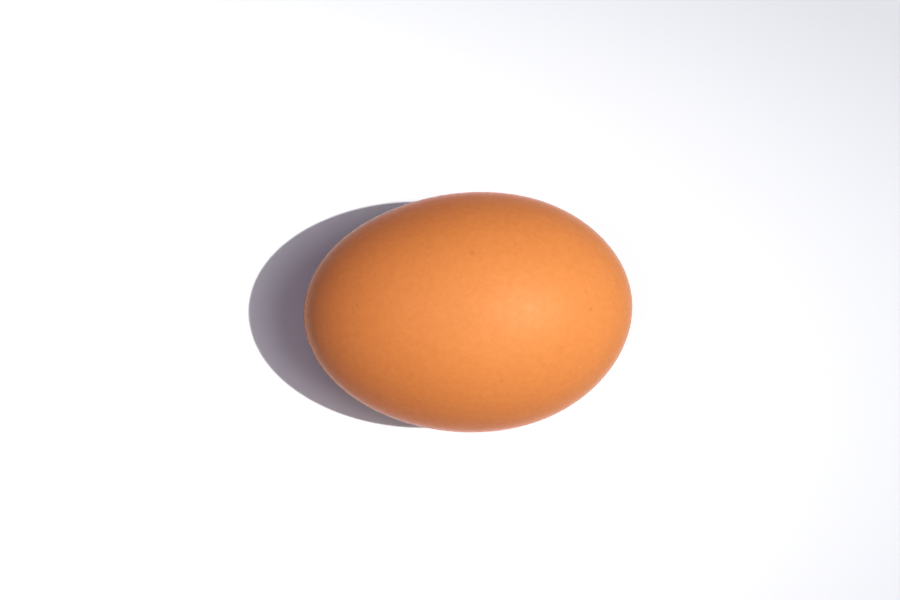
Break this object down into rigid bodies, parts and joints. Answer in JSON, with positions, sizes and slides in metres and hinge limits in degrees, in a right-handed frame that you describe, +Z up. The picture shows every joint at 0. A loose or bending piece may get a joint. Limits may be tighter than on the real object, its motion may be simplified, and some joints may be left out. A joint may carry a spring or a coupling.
{
  "type": "brown hen's egg",
  "caption": "Whole brown hen's egg in its shell, lying on its side on a small flat spot, blunt end slightly raised.",
  "frame": {"origin": "on the surface that the egg lies on, under the middle of its outline", "axes": "+X along the long axis towards the blunt end, +Y across the egg to the side that its two ends bend to, +Z up"},
  "size_m": [0.058, 0.0424, 0.0422],
  "materials": {
    "eggshell": "eggshell"
  },
  "bodies": {
    "root": {"egg": "eggshell"}
  },
  "joints": []
}
